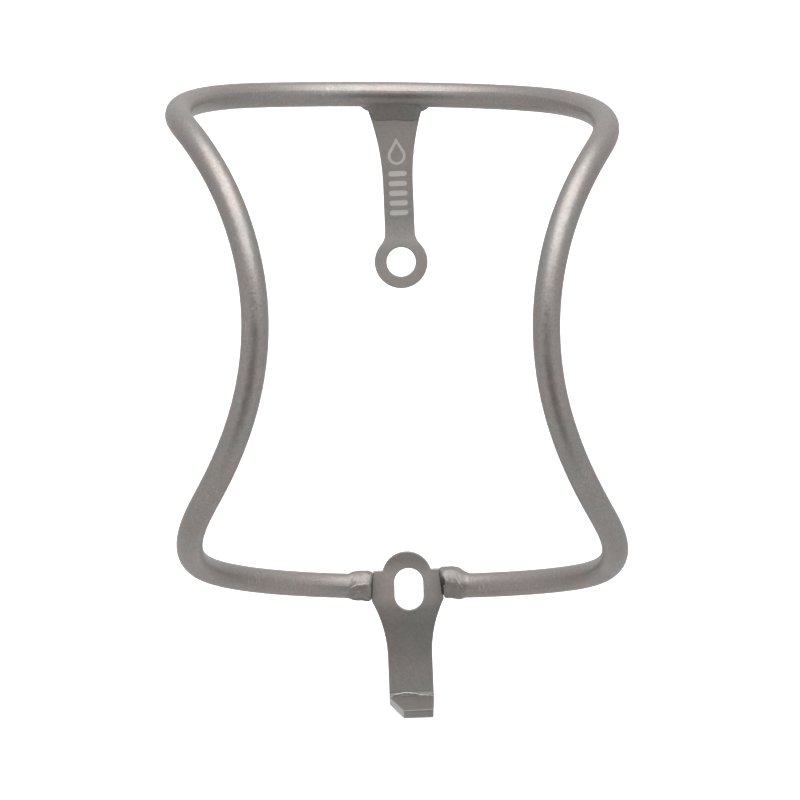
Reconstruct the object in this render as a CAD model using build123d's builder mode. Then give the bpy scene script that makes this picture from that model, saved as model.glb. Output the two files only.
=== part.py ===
"""Water bottle cage: one bent tube wrapped round the bottle, with a tab and a plate that bolt to the bicycle.

The part's own frame: +Z up along the bottle, +Y towards the bicycle, +X to the right of someone facing the
open side. The origin is the middle of the upper bolt hole, on the face that lies against the bicycle.
Lengths are in millimetres, angles in degrees.
"""

import os
from math import asin, cos, degrees, pi, radians, sin, sqrt, tan

from build123d import *

os.makedirs("parts", exist_ok=True)

# --- Driving dimensions ------------------------------------------------------------------------------------

# What the cage fits
bolt_spacing = 64.0  # between the two bosses on the bicycle
bolt_hole_diameter = 5.7  # clears an M5 bolt
loop_diameter = 72.6  # inside the tube; a little under a 73.5 mm bottle, so that the tube grips it

# Tube
tube_diameter = 4.8
tube_wall = 0.9
seat_gap = 0.3  # the tube stands this far in front of the mounting face

# The tube's route, drawn on the bottle's wall as if the wall were unrolled flat. Each half starts level in
# the middle of the top bar and always turns the same way. Each bend is a radius and an angle, and one more
# bend, the bottom bar, brings the half back to the middle.
top_bar_height = 32.5  # above the upper bolt hole
top_bar_bend = (350.0, 4.8)
shoulder_bend = (171.0, 14.6)
corner_bend = (32.5, 42.6)
waist_bend = (39.6, 83.9)
hip_bend = (94.0, 22.3)
loop_depth = 95.6  # about how far the bends bring it down; the tilt turns the loop about the middle of this
loop_tilt = 2.0  # the loop is welded on slightly askew, its right side lower
loop_turn = -2.0  # and this far round the bottle, so to the left
route_step = 6.0  # about the distance between points on the route

# Sheet parts
sheet = 1.6
edge_round = 0.2
sheet_lean = 1.0  # the tops of the tab and the plate lean this much to the left

# Upper tab, with heights above its bolt hole
eye_radius = 5.15
eye_blend_radius = 3.5
neck_width = 5.8
tab_flare_height = 15.0  # where the neck starts to widen
tab_flare_radius = 46.5
tab_top = 30.6

# Lower plate, with heights above the middle of its slot
slot_width = 5.65
slot_length = 8.25
arch_radius = 4.9
arch_height = 2.45
ear_width = 14.1  # at the bottom of the ears
ear_top_width = 13.1
ear_top = 3.8
leg_width = 8.7
leg_flare_height = -13.2
leg_flare_radius = 24.0
foot_height = -20.85
plate_shift = -0.3  # the plate is this far to the left of the middle of its slot

# Foot under the bottle
foot_length = 12.4
foot_slope = 5.5  # downwards, away from the leg
foot_tip_width = 5.65  # one corner is cut back
bend_radius = 0.8  # inside the bend

# Weld beads
tube_end_gap = 0.6  # from the plate's ear to the tube's end, filled by the bead
bead_height = 0.7  # how far the bead stands out of the tube
bead_length = 4.6
bead_mouth_radius = 2.7
tab_bead_arch = 27.6  # height of its lower edge over the middle of the tab
tab_bead_corner = (4.6, 27.3)  # x and z of the lower edge's corners, at the tab's sides
tab_bead_flank = (6.0, 29.2)  # a point of each side, which curves outwards, before the bar's tilt
tab_bead_end = (8.2, 30.2)  # where each side runs out under the tube, before the bar's tilt
tab_bead_face = 50.0  # how far round the tube its front reaches, from straight down
tab_bead_hollow = (0.28, 0.62)  # shares of its depth and height where its hollow front is deepest
tab_bead_toe = 0.3  # its hollow front would run out into the tab this far below its lower corners

# Etched mark on the tab: a drop above a column of bars
etch_depth = 0.08
drop_radius = 1.75
drop_height = 20.65
drop_line = 0.55
drop_point_angle = 30.0  # half the angle at its point
bar_count = 5
bar_length = 3.6
bar_width = 1.1
bar_pitch = 1.9
bar_height = 13.4

# --- Worked out from those ---------------------------------------------------------------------------------

tube_radius = tube_diameter / 2
wrap_radius = loop_diameter / 2 + tube_radius
bar_y = -(seat_gap + tube_radius)
axis_y = bar_y - wrap_radius
tube_end = ear_width / 2 + tube_end_gap
loop_middle = top_bar_height - loop_depth / 2
slot_z = -bolt_spacing
lean_across = (cos(radians(sheet_lean)), 0, sin(radians(sheet_lean)))
tab_plane = Plane(origin=(0, 0, 0), x_dir=lean_across, z_dir=(0, -1, 0))
plate_plane = Plane(origin=(plate_shift, 0, slot_z), x_dir=lean_across, z_dir=(0, -1, 0))


def on_bottle(across, above):
    """A point of the tube's centreline, from its place in the loop, measured from the loop's own middle."""
    tilt = radians(loop_tilt)
    around = loop_turn + across * cos(tilt) + above * sin(tilt)
    height = loop_middle + above * cos(tilt) - across * sin(tilt)
    angle = around / wrap_radius
    return Vector(wrap_radius * sin(angle), axis_y + wrap_radius * cos(angle), height)


def half_route(side):
    """Points along one half of the tube's centreline, from the middle of the top bar to the tube's end."""
    across, above, heading = 0.0, loop_depth / 2, 0.0
    points = [on_bottle(across, above)]

    def bend(radius, turn):
        steps = max(2, round(radius * turn / route_step))
        headings = [heading + turn * i / steps for i in range(1, steps + 1)]
        for h in headings:
            x = across + radius * (sin(h) - sin(heading))
            z = above + radius * (cos(h) - cos(heading))
            points.append(on_bottle(side * x, z))
        return x, z, heading + turn

    for radius, angle in (top_bar_bend, shoulder_bend, corner_bend, waist_bend, hip_bend):
        across, above, heading = bend(radius, radians(angle))
    bottom_radius = across / sin(heading)
    bottom_centre = above - bottom_radius * cos(heading)
    middle = loop_turn + bottom_centre * sin(radians(loop_tilt))
    end_offset = tube_end + side * (plate_shift - middle)
    end_heading = pi - side * radians(loop_tilt) - asin(end_offset / bottom_radius)
    bend(bottom_radius, end_heading - heading)
    return points


right_half = half_route(1)
left_half = half_route(-1)


def flare(side, half_width, start, radius, end):
    """A sheet part's edge that runs up straight to start, then curves outwards until the height end."""
    turn = degrees(asin((end - start) / radius))
    if side > 0:
        return CenterArc((half_width + radius, start), radius, 180, -turn)
    return CenterArc((-half_width - radius, start), radius, 0, turn)


# --- Tube --------------------------------------------------------------------------------------------------

with BuildPart() as cage_tube:
    with BuildLine():
        route = Spline(*reversed(left_half), *right_half[1:])
    with BuildSketch(Plane(origin=route @ 0, z_dir=route % 0)):
        Circle(tube_radius)
        Circle(tube_radius - tube_wall, mode=Mode.SUBTRACT)
    sweep()
cage_tube.part.label = "cage_tube"
export_step(cage_tube.part, "parts/cage_tube.step")

section_area = pi * (tube_radius**2 - (tube_radius - tube_wall) ** 2)
swept_share = cage_tube.part.volume / (section_area * route.length)
print(f"tube length {route.length:.1f}, volume over section times length {swept_share:.4f}")

# The outside of the tube as a solid bar, which the tab and the beads are cut to fit
with BuildPart() as tube_outside:
    with BuildSketch(Plane(origin=route @ 0, z_dir=route % 0)):
        Circle(tube_radius)
    sweep(path=route)

# --- Upper tab ---------------------------------------------------------------------------------------------

with BuildPart() as upright_tab:
    with BuildSketch(Plane.XZ):
        with BuildLine():
            left = flare(-1, neck_width / 2, tab_flare_height, tab_flare_radius, tab_top)
            right = flare(1, neck_width / 2, tab_flare_height, tab_flare_radius, tab_top)
            Line(left @ 1, right @ 1)
            Polyline(left @ 0, (-neck_width / 2, 0), (neck_width / 2, 0), right @ 0)
        make_face()
        Circle(eye_radius)
        neck_roots = vertices().filter_by(lambda v: 0 < v.Y < eye_radius)
        fillet(neck_roots, eye_blend_radius)
        Circle(bolt_hole_diameter / 2, mode=Mode.SUBTRACT)
    extrude(amount=sheet)
    fillet(edges().filter_by(lambda e: e.bounding_box().size.Y < edge_round), edge_round)

with BuildPart() as upper_tab:
    add(upright_tab.part.rotate(Axis.Y, -sheet_lean))
    add(tube_outside.part, mode=Mode.SUBTRACT)
    with BuildSketch(tab_plane.offset(sheet - etch_depth)):
        with BuildLine():
            bowl_start = 180 - drop_point_angle
            bowl = CenterArc((0, drop_height), drop_radius, bowl_start, 180 + 2 * drop_point_angle)
            drop_point = (0, drop_height + drop_radius / sin(radians(drop_point_angle)))
            Polyline(bowl @ 1, drop_point, bowl @ 0)
        make_face()
        offset(amount=-drop_line, mode=Mode.SUBTRACT)
        with Locations((0, bar_height)):
            with GridLocations(1, bar_pitch, 1, bar_count):
                SlotOverall(bar_length, bar_width)
    extrude(amount=etch_depth, mode=Mode.SUBTRACT)
upper_tab.part.label = "upper_tab"
export_step(upper_tab.part, "parts/upper_tab.step")

# --- Lower plate: arch, ears, leg and foot, all one sheet --------------------------------------------------

ear_bottom = leg_flare_height + sqrt(
    leg_flare_radius**2 - (leg_flare_radius - (ear_width - leg_width) / 2) ** 2
)
slope_sin = sin(radians(foot_slope))
slope_cos = cos(radians(foot_slope))
foot_under_corner = foot_height - sheet * slope_cos + sheet * (1 - slope_sin) * tan(radians(foot_slope))
foot_tip = (-sheet - foot_length * slope_cos, foot_height - foot_length * slope_sin)
foot_tip_under = (foot_tip[0] + sheet * slope_sin, foot_tip[1] - sheet * slope_cos)
leg_end = foot_height + bend_radius + sheet

slot_plane = Plane(origin=(0, 0, slot_z), x_dir=(1, 0, 0), z_dir=(0, -1, 0))
side_plane = Plane(origin=plate_plane.origin, x_dir=(0, 1, 0), z_dir=plate_plane.x_dir)
foot_origin = plate_plane.from_local_coords((0, foot_height + sheet, 0))
foot_plane = Plane(origin=foot_origin, x_dir=plate_plane.x_dir, z_dir=plate_plane.y_dir)


def within_ears(edge):
    return abs(plate_plane.to_local_coords(edge.center()).X) < ear_top_width / 2 - edge_round


with BuildPart() as lower_plate:
    with BuildSketch(plate_plane):
        with BuildLine():
            left = flare(-1, leg_width / 2, leg_flare_height, leg_flare_radius, ear_bottom)
            right = flare(1, leg_width / 2, leg_flare_height, leg_flare_radius, ear_bottom)
            Polyline(left @ 1, (-ear_top_width / 2, ear_top), (ear_top_width / 2, ear_top), right @ 1)
            Polyline(left @ 0, (-leg_width / 2, leg_end), (leg_width / 2, leg_end), right @ 0)
        make_face()
        with Locations((0, arch_height)):
            Circle(arch_radius)
    extrude(amount=sheet)
    with BuildSketch(slot_plane):
        SlotOverall(slot_length, slot_width, rotation=90)
    extrude(amount=sheet, mode=Mode.SUBTRACT)
    with BuildSketch(side_plane):
        with BuildLine():
            Polyline(
                (0, leg_end),
                (0, foot_under_corner),
                foot_tip_under,
                foot_tip,
                (-sheet, foot_height),
                (-sheet, leg_end),
                close=True,
            )
        make_face()
        fillet(vertices().sort_by_distance((-sheet, foot_height))[0], bend_radius)
        fillet(vertices().sort_by_distance((0, foot_under_corner))[0], bend_radius + sheet)
    extrude(amount=leg_width / 2, both=True)
    with BuildSketch(foot_plane):
        with BuildLine():
            Polyline(
                (-leg_width / 2, -sheet - bend_radius),
                (leg_width / 2 - foot_tip_width, foot_tip[0]),
                (leg_width / 2 - foot_tip_width, foot_tip[0] - sheet),
                (-leg_width, foot_tip[0] - sheet),
                (-leg_width, -sheet - bend_radius),
                close=True,
            )
        make_face()
    extrude(amount=-foot_length, mode=Mode.SUBTRACT)
    foot_top = slot_z + leg_end
    rims = edges().filter_by(lambda e: e.bounding_box().size.Y < edge_round or e.center().Z < foot_top)
    fillet(rims.filter_by(within_ears), edge_round)
lower_plate.part.label = "lower_plate"
export_step(lower_plate.part, "parts/lower_plate.step")

# --- Weld beads where the tube's ends meet the plate's ears ------------------------------------------------


def tube_end_bead(side, end, outwards):
    """A barrel round the tube's end, cut flat where it meets the ear's edge."""
    across = outwards.cross(Vector(0, 0, 1)).normalized()
    with BuildPart() as bead:
        with BuildSketch(Plane(origin=end, x_dir=outwards, z_dir=across)):
            with BuildLine():
                crown = ThreePointArc(
                    (-2 * tube_end_gap, bead_mouth_radius),
                    (bead_length / 4, tube_radius + bead_height),
                    (bead_length, tube_radius - edge_round),
                )
                Polyline(crown @ 1, (bead_length, 0), (-2 * tube_end_gap, 0), crown @ 0)
            make_face()
        revolve(axis=Axis(end, outwards))
        ear_corner = plate_plane.from_local_coords((side * ear_width / 2, ear_bottom, 0))
        ear_end = plate_plane.from_local_coords((side * ear_top_width / 2, ear_top, 0))
        ear_normal = side * (ear_end - ear_corner).cross(Vector(0, -1, 0))
        split(bisect_by=Plane(origin=ear_corner, z_dir=ear_normal), keep=Keep.TOP)
        add(tube_outside.part, mode=Mode.SUBTRACT)
    return bead.part


left_tube_weld = tube_end_bead(-1, route @ 0, route % 0)
left_tube_weld.label = "left_tube_weld"
export_step(left_tube_weld, "parts/left_tube_weld.step")

right_tube_weld = tube_end_bead(1, route @ 1, -(route % 1))
right_tube_weld.label = "right_tube_weld"
export_step(right_tube_weld, "parts/right_tube_weld.step")

# --- Weld bead between the tab and the top bar -------------------------------------------------------------

face_angle = radians(tab_bead_face)
bead_front = (bar_y - tube_radius * sin(face_angle), top_bar_height - tube_radius * cos(face_angle))
bead_bottom = (-sheet, tab_bead_corner[1] - tab_bead_toe)
bead_hollow = (
    bead_bottom[0] + tab_bead_hollow[0] * (bead_front[0] - bead_bottom[0]),
    bead_bottom[1] + tab_bead_hollow[1] * (bead_front[1] - bead_bottom[1]),
)

bar_direction = (cos(radians(loop_tilt)), 0, -sin(radians(loop_tilt)))
bar_askew = tan(radians(loop_tilt + sheet_lean))


def bead_side_point(side, across, height):
    """A point of the bead's outline on the tab, moved up or down with the bar, which is askew to the tab."""
    return (side * across, height - side * across * bar_askew)


bead_corner = {side: (side * tab_bead_corner[0], tab_bead_corner[1]) for side in (-1, 1)}
bead_flank = {side: bead_side_point(side, *tab_bead_flank) for side in (-1, 1)}
bead_end = {side: bead_side_point(side, *tab_bead_end) for side in (-1, 1)}

with BuildPart() as tab_weld:
    with BuildSketch(Plane(origin=(0, 0, 0), x_dir=(0, 1, 0), z_dir=bar_direction)):
        with BuildLine():
            ThreePointArc(bead_bottom, bead_hollow, bead_front)
            Polyline(bead_front, (bar_y, top_bar_height), (-sheet, top_bar_height), bead_bottom)
        make_face()
    extrude(amount=tab_bead_end[0] + tube_radius, both=True)
    with BuildSketch(tab_plane):
        with BuildLine():
            ThreePointArc(bead_corner[-1], (0, tab_bead_arch), bead_corner[1])
            ThreePointArc(bead_corner[1], bead_flank[1], bead_end[1])
            Polyline(
                bead_end[1],
                (tab_bead_end[0], top_bar_height),
                (-tab_bead_end[0], top_bar_height),
                bead_end[-1],
            )
            ThreePointArc(bead_end[-1], bead_flank[-1], bead_corner[-1])
        make_face()
    extrude(amount=tube_diameter * 2, both=True, mode=Mode.INTERSECT)
    add(tube_outside.part, mode=Mode.SUBTRACT)
tab_weld.part.label = "tab_weld"
export_step(tab_weld.part, "parts/tab_weld.step")
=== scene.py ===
from math import cos, exp, pi, radians, sin, sqrt, tan

import bmesh
import bpy
from mathutils import Euler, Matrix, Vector, noise


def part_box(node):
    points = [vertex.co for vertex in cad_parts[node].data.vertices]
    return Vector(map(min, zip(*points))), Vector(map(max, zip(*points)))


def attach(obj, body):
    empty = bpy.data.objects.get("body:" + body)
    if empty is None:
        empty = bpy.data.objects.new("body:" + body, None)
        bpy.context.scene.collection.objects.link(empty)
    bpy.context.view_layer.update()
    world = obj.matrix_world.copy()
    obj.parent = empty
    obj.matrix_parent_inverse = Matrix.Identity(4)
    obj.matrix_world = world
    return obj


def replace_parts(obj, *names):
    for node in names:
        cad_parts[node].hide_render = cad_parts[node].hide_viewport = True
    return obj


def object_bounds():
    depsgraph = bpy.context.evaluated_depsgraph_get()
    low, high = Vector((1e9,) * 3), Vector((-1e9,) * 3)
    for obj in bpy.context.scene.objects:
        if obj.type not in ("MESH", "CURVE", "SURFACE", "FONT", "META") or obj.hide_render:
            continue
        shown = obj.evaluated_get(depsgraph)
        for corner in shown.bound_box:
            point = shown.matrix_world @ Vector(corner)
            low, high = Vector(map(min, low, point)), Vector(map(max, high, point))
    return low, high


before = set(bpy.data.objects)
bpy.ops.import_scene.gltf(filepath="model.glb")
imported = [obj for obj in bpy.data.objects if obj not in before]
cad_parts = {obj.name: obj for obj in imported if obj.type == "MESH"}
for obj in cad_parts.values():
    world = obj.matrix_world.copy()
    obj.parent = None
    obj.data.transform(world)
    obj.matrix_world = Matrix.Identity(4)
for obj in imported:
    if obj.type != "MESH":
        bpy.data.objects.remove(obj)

cad_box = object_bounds()
MM = 0.001

# --- Dimensions of the cage, in mm -------------------------------------------------------------------------

BAR_Y = -2.7  # the tube's centreline at the back of the loop
WRAP_RADIUS = 38.7  # of the tube's centreline round the bottle
TUBE_RADIUS = 2.4
TOP_BAR_Z = 32.47  # its centreline above the tab
BAR_FALL = 0.035  # per mm to the right
SHEET = 1.6
SLOT_Z = -64.0
PLATE_SHIFT = -0.3
PLATE_LEAN = 1.0
FOOT_HEIGHT = -20.85  # above the slot
FOOT_SLOPE = 5.5
BEND_RADIUS = 0.8  # inside the foot's bend


# --- Camera ------------------------------------------------------------------------------------------------

CAMERA_PLACE = Vector((14.8, -595.2, -6.2)) * MM
CAMERA_TURN = 1.51  # degrees to the left
CAMERA_PITCH = 2.0  # degrees below level
CAMERA_ROLL = -1.36  # degrees
CAMERA_LENS = 137.0  # mm
SENSOR_WIDTH = 36.0  # mm

camera_data = bpy.data.cameras.new("camera")
camera_data.lens = CAMERA_LENS
camera_data.sensor_width = SENSOR_WIDTH
camera_data.clip_start = 0.01
camera = bpy.data.objects.new("camera", camera_data)
camera.location = CAMERA_PLACE
turn = Euler((0, 0, radians(CAMERA_TURN))).to_matrix()
pitch = Euler((radians(90 - CAMERA_PITCH), 0, 0)).to_matrix()
roll = Euler((0, 0, radians(CAMERA_ROLL))).to_matrix()
camera.rotation_euler = (turn @ pitch @ roll).to_euler()
bpy.context.scene.collection.objects.link(camera)
bpy.context.scene.camera = camera
bpy.context.scene.view_settings.view_transform = "Standard"


# --- Nodes -------------------------------------------------------------------------------------------------


class Material:
    """A material under construction: each method adds one node and returns the output that is of use."""

    def __init__(self, name):
        self.material = bpy.data.materials.new(name)
        self.material.use_nodes = True
        self.nodes = self.material.node_tree.nodes
        self.links = self.material.node_tree.links
        self.surface = self.nodes["Principled BSDF"]
        self.place = self.nodes.new("ShaderNodeTexCoord").outputs["Object"]

    def link(self, output, socket):
        self.links.new(output, socket)

    def set(self, socket, value):
        self.surface.inputs[socket].default_value = value

    def noise(self, size, detail=2.0, roughness=0.5, distortion=0.0, stretch=None):
        """Smooth noise whose lumps are about size metres across, stretched along one axis if asked."""
        node = self.nodes.new("ShaderNodeTexNoise")
        node.inputs["Scale"].default_value = 1 / size
        node.inputs["Detail"].default_value = detail
        node.inputs["Roughness"].default_value = roughness
        node.inputs["Distortion"].default_value = distortion
        place = self.place
        if stretch:
            mapping = self.nodes.new("ShaderNodeMapping")
            mapping.inputs["Scale"].default_value = stretch
            self.link(place, mapping.inputs["Vector"])
            place = mapping.outputs["Vector"]
        self.link(place, node.inputs["Vector"])
        return node.outputs["Fac"]

    def ramp(self, value, *stops):
        """Colours or greys along a value, each stop a position and a colour."""
        node = self.nodes.new("ShaderNodeValToRGB")
        elements = node.color_ramp.elements
        while len(elements) < len(stops):
            elements.new(0.5)
        for element, (position, colour) in zip(elements, stops):
            element.position = position
            element.color = (*colour, 1) if hasattr(colour, "__len__") else (colour, colour, colour, 1)
        self.link(value, node.inputs["Fac"])
        return node.outputs["Color"]

    def mix(self, share, a, b, blend="MIX"):
        node = self.nodes.new("ShaderNodeMix")
        node.data_type = "RGBA"
        node.blend_type = blend
        for socket, value in ((node.inputs["Factor"], share), (node.inputs[6], a), (node.inputs[7], b)):
            if isinstance(value, bpy.types.NodeSocket):
                self.link(value, socket)
            elif socket.type == "RGBA":
                socket.default_value = (*value, 1)
            else:
                socket.default_value = value
        return node.outputs[2]

    def math(self, operation, *values):
        node = self.nodes.new("ShaderNodeMath")
        node.operation = operation
        for socket, value in zip(node.inputs, values):
            if isinstance(value, bpy.types.NodeSocket):
                self.link(value, socket)
            else:
                socket.default_value = value
        return node.outputs["Value"]

    def remap(self, value, low, high, new_low, new_high):
        node = self.nodes.new("ShaderNodeMapRange")
        for socket, number in zip(list(node.inputs)[1:5], (low, high, new_low, new_high)):
            socket.default_value = number
        self.link(value, node.inputs["Value"])
        return node.outputs["Result"]

    def split(self, vector):
        node = self.nodes.new("ShaderNodeSeparateXYZ")
        self.link(vector, node.inputs["Vector"])
        return node

    def facing(self):
        return self.nodes.new("ShaderNodeNewGeometry").outputs["Normal"]

    def by_height(self, painted_shading):
        """A grey that follows the height, through tones that are each a height in mm and a factor."""
        low, high = painted_shading[0][0], painted_shading[-1][0]
        share = self.remap(self.split(self.place).outputs["Z"], low * MM, high * MM, 0.0, 1.0)
        return self.ramp(share, *(((height - low) / (high - low), factor) for height, factor in painted_shading))

    def bump(self, height, depth, before=None):
        node = self.nodes.new("ShaderNodeBump")
        node.inputs["Strength"].default_value = 1.0
        node.inputs["Distance"].default_value = depth
        self.link(height, node.inputs["Height"])
        if before:
            self.link(before, node.inputs["Normal"])
        return node.outputs["Normal"]


# --- Bead-blasted titanium ---------------------------------------------------------------------------------

TUBE_COLOUR = (0.52, 0.49, 0.47)
SHEET_COLOUR = (0.44, 0.42, 0.40)
WELD_COLOUR = (0.47, 0.45, 0.43)
TAB_WELD_COLOUR = (0.38, 0.365, 0.345)
# painted shade: near-black colour for the floor of the crevice between each tube weld and its ear
CREVICE_PAINTED_SHADE = (0.11, 0.10, 0.095)
# painted highlight: the burr is a real ridge, painted paler so that its line looks bright
BURR_PAINTED_HIGHLIGHT = (0.66, 0.64, 0.62)
ETCHED_COLOUR = (0.76, 0.735, 0.705)
SCRATCH_COLOUR = (0.70, 0.66, 0.63)
# painted light: paler colour for the face of the foot's sheared corner that turns left and forwards
CUT_FACE_PAINTED_LIGHT = (0.80, 0.78, 0.77)
WARM = (1.04, 0.985, 0.97)  # of the patches, as factors of the metal's colour
COOL = (0.98, 1.0, 1.0)
PATCH_SIZE = 7 * MM
CLOUD_SIZE = 22 * MM
GLOSS_SIZE = 3 * MM
GRAIN_SIZE = 0.45 * MM
UNEVEN_GLOSS = 0.05
TUBE_ROUGHNESS = 0.43
SHEET_ROUGHNESS = 0.58
WELD_ROUGHNESS = 0.52
CREVICE_ROUGHNESS = 0.6
BURR_ROUGHNESS = 0.45
GRAIN = 0.12
SHEET_GRAIN = 0.06
DIMPLE_SIZE, DIMPLE_DEPTH = 0.22 * MM, 0.022 * MM
RIPPLE_SIZE, RIPPLE_DEPTH = 0.6 * MM, 0.032 * MM
PAINTED_SHADE_PLACE = Vector((-0.5, -3.4, 29.6))  # of the shade painted on the top bar's underside, above the tab's weld
PAINTED_SHADE_REACH = Vector((9.5, 2.6, 2.4))
PAINTED_SHADE_FACTOR = 0.74
SCRATCH_WIDTH = 0.35 * MM
SCRATCH_STRETCH = (1, 1, 0.14)
SCRATCHED_SIZE = 9 * MM
FINISH_GLOSS = 0.1  # how much rougher the etching is, and how much smoother the sheared corner's face


def titanium(name, colour, roughness, painted_shading=None, marks_and_painted_shading=None, grain=GRAIN):
    """Bead-blasted titanium: a fine grain, faint warm and cool patches, and slightly uneven gloss. The
    painted shading is heights in mm and how much paler or darker the metal is painted there, as light and
    shade over the sheet's bends; the
    marks add local touches: print, scratches, painted light and painted shade, and the grain is how much the
    shade varies from grain to grain."""
    m = Material(name)
    m.set("Metallic", 1.0)
    warm = [c * f for c, f in zip(colour, WARM)]
    cool = [c * f for c, f in zip(colour, COOL)]
    patches = m.ramp(m.noise(PATCH_SIZE, detail=3), (0.38, cool), (0.62, warm))
    cloud = m.ramp(m.noise(CLOUD_SIZE), (0.3, 0.93), (0.7, 1.05))
    speckle = m.ramp(m.noise(GRAIN_SIZE, detail=3, roughness=0.6), (0.3, 1 - grain), (0.7, 1 + grain))
    shade = m.mix(1.0, m.mix(1.0, patches, cloud, "MULTIPLY"), speckle, "MULTIPLY")
    gloss = m.noise(GLOSS_SIZE, detail=3)
    gloss = m.remap(gloss, 0.3, 0.7, roughness - UNEVEN_GLOSS, roughness + UNEVEN_GLOSS)
    if painted_shading:
        shade = m.mix(1.0, shade, m.by_height(painted_shading), "MULTIPLY")
    if marks_and_painted_shading:
        shade, gloss = marks_and_painted_shading(m, shade, gloss)
    m.link(shade, m.surface.inputs["Base Color"])
    m.link(gloss, m.surface.inputs["Roughness"])
    dimples = m.bump(m.noise(DIMPLE_SIZE), DIMPLE_DEPTH)
    m.link(m.bump(m.noise(RIPPLE_SIZE), RIPPLE_DEPTH, dimples), m.surface.inputs["Normal"])
    return m.material


def etch(m, shade, gloss):
    """Lighter and rougher where the tab's front face is etched, on the floor of the shallow recess."""
    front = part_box("upper_tab")[0].y
    half_depth = 0.04 * MM
    sunk = m.math("GREATER_THAN", m.split(m.place).outputs["Y"], front + half_depth)
    flat = m.math("LESS_THAN", m.split(m.facing()).outputs["Y"], -0.97)
    floor = m.math("MULTIPLY", sunk, flat)
    return m.mix(floor, shade, ETCHED_COLOUR), m.math("ADD", gloss, m.math("MULTIPLY", floor, FINISH_GLOSS))


def tube_scratches_and_painted_shade(m, shade, gloss):
    """Faint scratches along the arms, and painted shade: the top bar's underside is painted darker where the
    tab is welded on below it.
    """
    streaks = m.noise(SCRATCH_WIDTH, distortion=0.4, stretch=SCRATCH_STRETCH)
    streaks = m.ramp(streaks, (0.60, 0.0), (0.68, 1.0))
    scratched = m.ramp(m.noise(SCRATCHED_SIZE), (0.52, 0.0), (0.66, 1.0))
    shade = m.mix(m.math("MULTIPLY", streaks, scratched), shade, SCRATCH_COLOUR)
    around = m.nodes.new("ShaderNodeMapping")
    around.vector_type = "TEXTURE"
    around.inputs["Location"].default_value = PAINTED_SHADE_PLACE * MM
    around.inputs["Scale"].default_value = PAINTED_SHADE_REACH * MM
    m.link(m.place, around.inputs["Vector"])
    distance = m.nodes.new("ShaderNodeVectorMath")
    distance.operation = "LENGTH"
    m.link(around.outputs["Vector"], distance.inputs[0])
    # painted shade: darkest at the patch's middle, fading out towards its reach
    painted_shade_under_bar = m.ramp(m.remap(distance.outputs["Value"], 0.55, 1.25, 0.0, 1.0), (0.0, PAINTED_SHADE_FACTOR), (1.0, 1.0))
    return m.mix(1.0, shade, painted_shade_under_bar, "MULTIPLY"), gloss


def painted_light_on_cut_corner(m, shade, gloss):
    """Painted light on the face where the corner of the foot was sheared off: paler where it turns left and
    forwards, and a little smoother.
    """
    facing = m.split(m.facing())
    left = m.math("LESS_THAN", facing.outputs["X"], -0.8)
    forward = m.math("LESS_THAN", facing.outputs["Y"], -0.12)
    low = m.math("LESS_THAN", m.split(m.place).outputs["Z"], (SLOT_Z + FOOT_HEIGHT) * MM)
    lit_cut_face = m.math("MULTIPLY", m.math("MULTIPLY", left, forward), low)
    smoother = m.math("MULTIPLY", lit_cut_face, FINISH_GLOSS)
    return m.mix(lit_cut_face, shade, CUT_FACE_PAINTED_LIGHT), m.math("SUBTRACT", gloss, smoother)


# painted light and shade over the tab's and plate's bends: heights in mm, and how much paler or darker than
# the sheet's colour
TAB_PAINTED_SHADING = ((-6.0, 1.12), (2.0, 1.20), (4.0, 1.36), (6.0, 1.22), (8.5, 1.04), (26.0, 1.02), (31.0, 0.95))
PLATE_PAINTED_SHADING = ((-88.0, 1.42), (-86.6, 1.38), (-86.0, 1.02), (-85.0, 0.95), (-84.5, 0.76), (-83.9, 1.20),
               (-80.0, 1.14), (-76.0, 0.96), (-71.0, 0.86), (-68.0, 1.00), (-65.5, 1.42), (-61.0, 1.50),
               (-58.5, 1.06), (-56.0, 1.00))

materials = {
    "cage_tube": titanium("tube_titanium", TUBE_COLOUR, TUBE_ROUGHNESS, marks_and_painted_shading=tube_scratches_and_painted_shade),
    "upper_tab": titanium("tab_titanium", SHEET_COLOUR, SHEET_ROUGHNESS, TAB_PAINTED_SHADING, etch, SHEET_GRAIN),
    "lower_plate": titanium("plate_titanium", SHEET_COLOUR, SHEET_ROUGHNESS, PLATE_PAINTED_SHADING, painted_light_on_cut_corner,
                            SHEET_GRAIN),
    "left_tube_weld": titanium("weld_titanium", WELD_COLOUR, WELD_ROUGHNESS),
    "tab_weld": titanium("tab_weld_titanium", TAB_WELD_COLOUR, WELD_ROUGHNESS),
}
# painted shade: the near-black material for the welds' crevices
crevice_painted_shade = titanium("crevice_painted_shade_titanium", CREVICE_PAINTED_SHADE, CREVICE_ROUGHNESS)
# painted highlight: the burr's paler material
burr_painted_highlight = titanium("burr_painted_highlight_titanium", BURR_PAINTED_HIGHLIGHT, BURR_ROUGHNESS)
materials["right_tube_weld"] = materials["left_tube_weld"]
for node, material in materials.items():
    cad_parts[node].data.materials.clear()
    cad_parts[node].data.materials.append(material)


# --- Weld beads with their ripples, and the burr along the foot's bend -------------------------------------


def eased(stops, t):
    """A smooth curve through stops, each a position and a value."""
    if t <= stops[0][0]:
        return stops[0][1]
    for (t0, v0), (t1, v1) in zip(stops, stops[1:]):
        if t <= t1:
            share = (t - t0) / (t1 - t0)
            return v0 + (v1 - v0) * (1 - cos(pi * share)) / 2
    return stops[-1][1]


def lump(point, size, seed):
    """Smooth noise between about -1 and 1, at a point in mm."""
    return noise.noise(point / size + Vector((seed, seed, seed)))


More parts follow.
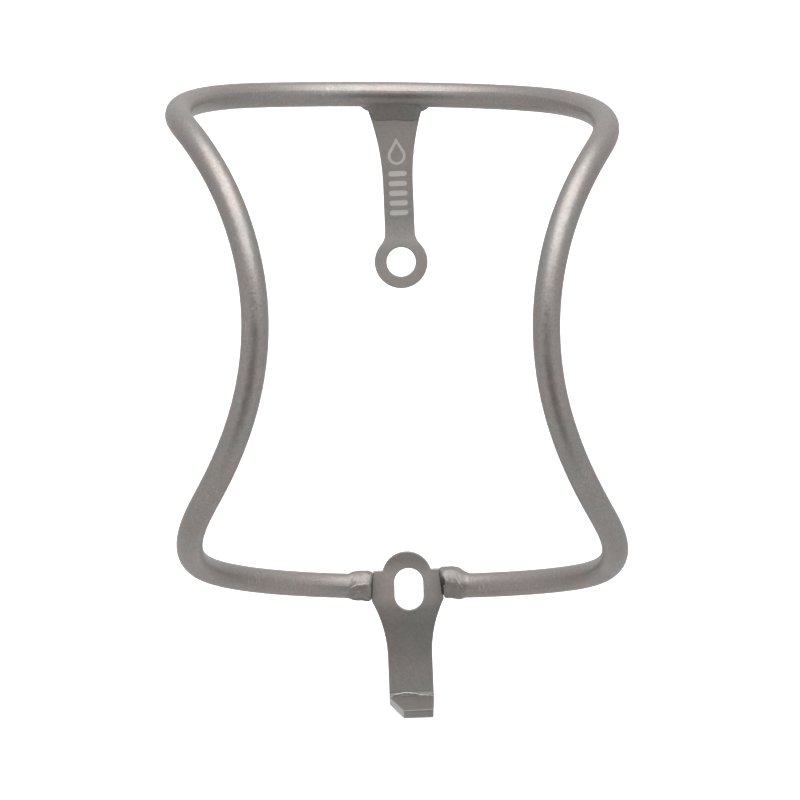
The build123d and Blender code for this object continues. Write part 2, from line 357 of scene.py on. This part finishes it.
def ring_piece(name, rings, material):
    """A closed piece skinned over rings of points in mm, each ring closed and the first and last capped."""
    mesh = bmesh.new()
    loops = [[mesh.verts.new(point * MM) for point in ring] for ring in rings]
    for one, two in zip(loops, loops[1:]):
        for k, corner in enumerate(one):
            mesh.faces.new((one[k - 1], corner, two[k], two[k - 1]))
    mesh.faces.new(loops[0])
    mesh.faces.new(loops[-1])
    bmesh.ops.recalc_face_normals(mesh, faces=mesh.faces)
    data = bpy.data.meshes.new(name)
    mesh.to_mesh(data)
    mesh.free()
    data.shade_smooth()
    data.materials.append(material)
    piece = bpy.data.objects.new(name, data)
    bpy.context.scene.collection.objects.link(piece)
    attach(piece, "root")
    return piece


def bar_y(x):
    """Where the tube's centreline is at the back of the loop, which is wrapped round the bottle."""
    return BAR_Y - WRAP_RADIUS + sqrt(WRAP_RADIUS**2 - x**2)


BEAD_POINTS = 120  # round a bead
BEAD_RINGS = 84
CORE_RINGS = 5  # of those, at the bottom of the crevice
CORE_RADIUS = TUBE_RADIUS + 0.02
LIP = 0.35  # over which the bead's end is rounded
BEAD_MIDDLE = 2.5  # from the ear
SLANT_REACH = 1.5  # from the ear, over which the slant fades
SCALES = 9  # left by the welding, round a bead


def bead_radius(profile, ripple, seed, gap, u, v):
    """The bead's lumpy radius at u from the ear and v round the tube, with overlapping scales and a lip."""
    length = profile[-1][0]
    spot = Vector((u, 3 * cos(v), 3 * sin(v)))
    # 1 along most of the bead, and 0 at its ends
    worked = exp(-((u - length * 0.42) / (length * 0.36)) ** 4)
    # from 0 to 1 across each scale
    scale = (SCALES * v / (2 * pi) + 0.5 * lump(spot, 2.5, seed) - 0.10 * (u - 2) ** 2) % 1.0
    radius = eased(profile, u) + worked * ripple * ((1 - scale) ** 2 - 0.35)
    radius += worked * (0.16 * lump(spot, 2.2, seed + 5) + 0.05 * lump(spot, 0.8, seed + 9))
    lip = 1 - min(1.0, (u - gap) / LIP)
    return CORE_RADIUS + (radius - CORE_RADIUS) * sqrt(1 - lip**2)


def tube_weld(node, side, slant, rise, lift, profile, gaps, ripple, seed):
    """The lumpy bead round a tube's end, with a crevice at the ear whose floor is painted near-black as
    painted shade.
    The slant follows the ear's edge, the rise follows the tube and the lift raises the bead at the ear, in
    mm; the profile is the bead's radius by the distance from the ear, the gaps are the crevice's width by the
    height, and the ripple is the height of the scales that the welding left."""
    low, high = (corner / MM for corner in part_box(node))
    ear_x = high.x if side < 0 else low.x
    middle_z = (low.z + high.z) / 2
    length = profile[-1][0]
    rings = []
    for i in range(BEAD_RINGS):
        ring = []
        for k in range(BEAD_POINTS):
            v = 2 * pi * k / BEAD_POINTS
            gap = eased(gaps, CORE_RADIUS * sin(v))
            if i < CORE_RINGS:
                u = gap * i / CORE_RINGS
                radius = CORE_RADIUS
            else:
                u = gap + (length - gap) * (i - CORE_RINGS) / (BEAD_RINGS - 1 - CORE_RINGS)
                radius = bead_radius(profile, ripple, seed, gap, u, v)
            x = ear_x + side * u
            z = middle_z + rise * (u - BEAD_MIDDLE) + lift * (1 - (u / length) ** 2)
            offset = radius * sin(v)
            edge = slant * offset * max(0.0, 1 - u / SLANT_REACH)
            ring.append(Vector((x + edge, bar_y(x) + radius * cos(v), z + offset)))
        rings.append(ring)
    bead = ring_piece(node + "_bead", rings, materials[node])
    # painted shade: the first rings, at the crevice's floor, take the near-black colour
    bead.data.materials.append(crevice_painted_shade)
    for face in list(bead.data.polygons)[: BEAD_POINTS * CORE_RINGS]:
        face.material_index = 1
    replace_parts(bead, node)


def tab_bead():
    """The bead under the top bar, which runs smoothly into the tube above it and the tab below."""
    low, high = (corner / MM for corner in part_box("tab_weld"))
    middle = (low.x + high.x) / 2
    sections, steps = 96, 24
    # the lower edge's height, by the distance from the middle
    outline = ((0.0, 27.55), (3.6, 27.4), (4.3, 27.7), (4.7, 28.6), (5.2, 29.3), (7.2, 30.25))
    top_turn = radians(48)  # where the bead leaves the tube, forwards from straight down
    hollow = Vector((0.27, 0.22))  # backwards and up, of the bead's face
    toe_y = -SHEET - 0.02
    rings = []
    for i in range(sections + 1):
        x = low.x + (high.x - low.x) * i / sections
        bar = Vector((bar_y(x), TOP_BAR_Z - BAR_FALL * x))
        toe = Vector((toe_y, eased(outline, abs(x - middle)) - BAR_FALL * (x - middle)))
        top = bar - TUBE_RADIUS * Vector((sin(top_turn), cos(top_turn)))
        bend = (top + toe) / 2 + hollow
        section = [top + (bar - top) * 0.4]  # this and the last three are hidden in the tube and tab
        for k in range(steps + 1):
            t = k / steps
            spot = top * (1 - t) ** 2 + bend * 2 * t * (1 - t) + toe * t**2
            swell = 0.05 * lump(Vector((x, *spot)), 2.2, 3.0) * sin(pi * t)
            section.append(spot + Vector((-swell, -swell)))
        section += [toe + Vector((0.3, 0.02)), toe + Vector((0.5, 0.25))]
        section.append(Vector((toe_y + 0.5, bar.y - TUBE_RADIUS * 0.6)))
        rings.append([Vector((x, y, z)) for y, z in section])
    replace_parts(ring_piece("tab_weld_bead", rings, materials["tab_weld"]), "tab_weld")


def bend_burr():
    """The thin burr that the bending left along the foot's bend, and which wanders on to the foot; its paler
    colour is a painted highlight.
    """
    lean = radians(PLATE_LEAN)
    slope = tan(radians(FOOT_SLOPE))
    # by the place across the foot: how far the burr climbs the bend, or, if negative, runs forwards of it
    wave = ((-4.3, -0.5), (-2.9, 0.30), (-1.2, 0.52), (0.6, 0.36), (1.7, 0.04), (3.0, 0.0), (4.3, -0.6))
    steps, sides = 88, 12
    reach = wave[-1][0]
    turns = [2 * pi * k / sides for k in range(sides)]
    rings = []
    for i in range(steps + 1):
        across = -reach + 2 * reach * i / steps
        climb = eased(wave, across) + 0.05 * lump(Vector((across, 0, 0)), 0.9, 2.0)
        rise, forward = max(0.0, climb), max(0.0, -climb)
        y = -SHEET - BEND_RADIUS - forward + sqrt(BEND_RADIUS**2 - (BEND_RADIUS - rise) ** 2)
        up = FOOT_HEIGHT + rise - forward * slope
        x = PLATE_SHIFT + across * cos(lean) - up * sin(lean)
        z = SLOT_Z + across * sin(lean) + up * cos(lean)
        girth = 0.20 + 0.04 * lump(Vector((across, 5, 0)), 0.7, 4.0)
        girth *= min(1.0, (reach + 0.02 - abs(across)) / 0.3)
        rings.append([Vector((x, y + girth * cos(v), z + girth * sin(v))) for v in turns])
    ring_piece("foot_bend_burr", rings, burr_painted_highlight)


# radii by the distance from the ear, and the crevices' widths by the height, in mm
LEFT_PROFILE = ((0.0, 2.72), (1.2, 2.92), (2.7, 2.92), (5.2, 2.40), (5.6, 2.1))
LEFT_GAPS = ((-2.3, 0.12), (-1.2, 0.22), (0.6, 0.26), (2.3, 0.10))
RIGHT_PROFILE = ((0.0, 2.95), (1.0, 3.08), (3.4, 3.08), (5.5, 2.44), (5.9, 2.1))
RIGHT_GAPS = ((-2.3, 0.40), (-0.8, 0.90), (0.4, 0.80), (1.7, 0.20), (2.3, 0.05))

tube_weld("left_tube_weld", side=-1, slant=0.075, rise=0.06, lift=0.1, profile=LEFT_PROFILE,
          gaps=LEFT_GAPS, ripple=0.27, seed=1.0)
tube_weld("right_tube_weld", side=1, slant=-0.11, rise=0.03, lift=0.75, profile=RIGHT_PROFILE,
          gaps=RIGHT_GAPS, ripple=0.13, seed=7.0)
tab_bead()
bend_burr()


# --- Floor and light ---------------------------------------------------------------------------------------

FLOOR_RADIUS = 1.5
FLOOR_CURVE = 0.6
CURVE_STEPS = 12
ROUND_STEPS = 96
WALL_TOP = 2.4
PAPER_GREY = 0.80
PAPER_GLOW = 0.55  # lifts the paper to white

KEY_PLACE = Vector((0.06, -0.43, 0.55))
KEY_TARGET = Vector((0, -0.03, -0.03))
KEY_SIZE = (0.88, 0.96)
KEY_POWER = 3.15  # watts

# greys from straight below, 0, to straight above, 1
SKY = ((0.0, 0.51), (0.25, 0.51), (0.5, 0.47), (0.69, 0.49), (0.8, 0.57), (0.95, 0.56), (1.0, 1.0))
DARK_FRONT = Vector((0, -0.967, -0.255))
BRIGHT_BACK = Vector((0, 1, 0))


def backdrop():
    """A pale floor that curves up into a wall all the way round."""
    profile = [(0.0, 0.0), (FLOOR_RADIUS, 0.0)]
    for i in range(1, CURVE_STEPS + 1):
        turn = pi / 2 * i / CURVE_STEPS
        profile.append((FLOOR_RADIUS + FLOOR_CURVE * sin(turn), FLOOR_CURVE * (1 - cos(turn))))
    profile.append((FLOOR_RADIUS + FLOOR_CURVE, WALL_TOP))
    mesh = bmesh.new()
    line = [mesh.verts.new((r, 0, z)) for r, z in profile]
    edges = [mesh.edges.new(pair) for pair in zip(line, line[1:])]
    bmesh.ops.spin(mesh, geom=line + edges, axis=(0, 0, 1), cent=(0, 0, 0), angle=2 * pi,
                   steps=ROUND_STEPS, use_merge=True)
    bmesh.ops.remove_doubles(mesh, verts=mesh.verts, dist=1e-6)
    bmesh.ops.recalc_face_normals(mesh, faces=mesh.faces)
    data = bpy.data.meshes.new("backdrop")
    mesh.to_mesh(data)
    mesh.free()
    data.shade_smooth()
    obj = bpy.data.objects.new("backdrop", data)
    obj.location.z = cad_box[0][2]
    bpy.context.scene.collection.objects.link(obj)
    paper = Material("pale_paper")
    paper.set("Base Color", (PAPER_GREY, PAPER_GREY, PAPER_GREY, 1))
    paper.set("Roughness", 0.9)
    paper.set("Emission Color", (1.0, 1.0, 1.0, 1))
    paper.set("Emission Strength", PAPER_GLOW)
    data.materials.append(paper.material)
    obj.visible_glossy = False


def softbox():
    """One broad light above and in front, which the camera doesn't see."""
    data = bpy.data.lights.new("key", "AREA")
    data.shape = "RECTANGLE"
    data.size, data.size_y = KEY_SIZE
    data.energy = KEY_POWER
    light = bpy.data.objects.new("key", data)
    light.location = KEY_PLACE
    light.rotation_euler = (KEY_TARGET - KEY_PLACE).to_track_quat("-Z", "Y").to_euler()
    light.visible_camera = False
    bpy.context.scene.collection.objects.link(light)


def surroundings():
    """What the metal mirrors: brightest above, dark in front and a little low, and paler behind."""
    world = bpy.data.worlds.new("studio")
    bpy.context.scene.world = world
    world.use_nodes = True
    nodes, links = world.node_tree.nodes, world.node_tree.links
    direction = nodes.new("ShaderNodeTexCoord").outputs["Generated"]

    def along(axis, *span):
        """How nearly the direction is along an axis, mapped smoothly from two numbers to the next two."""
        dot = nodes.new("ShaderNodeVectorMath")
        dot.operation = "DOT_PRODUCT"
        dot.inputs[1].default_value = axis.normalized()
        links.new(direction, dot.inputs[0])
        spread = nodes.new("ShaderNodeMapRange")
        spread.interpolation_type = "SMOOTHSTEP"
        for socket, number in zip(list(spread.inputs)[1:5], span):
            socket.default_value = number
        links.new(dot.outputs["Value"], spread.inputs["Value"])
        return spread.outputs["Result"]

    height = nodes.new("ShaderNodeMapRange")
    height.inputs["From Min"].default_value = -1.0
    split = nodes.new("ShaderNodeSeparateXYZ")
    links.new(direction, split.inputs["Vector"])
    links.new(split.outputs["Z"], height.inputs["Value"])
    ramp = nodes.new("ShaderNodeValToRGB")
    elements = ramp.color_ramp.elements
    while len(elements) < len(SKY):
        elements.new(0.5)
    for element, (position, grey) in zip(elements, SKY):
        element.position = position
        element.color = (grey, grey, grey, 1)
    links.new(height.outputs["Result"], ramp.inputs["Fac"])
    shade = nodes.new("ShaderNodeMath")
    shade.operation = "MULTIPLY"
    links.new(along(DARK_FRONT, 0.76, 0.97, 1.0, 0.22), shade.inputs[0])
    links.new(along(BRIGHT_BACK, 0.75, 0.97, 1.0, 1.45), shade.inputs[1])
    links.new(ramp.outputs["Color"], nodes["Background"].inputs["Color"])
    links.new(shade.outputs["Value"], nodes["Background"].inputs["Strength"])


backdrop()
surroundings()
softbox()
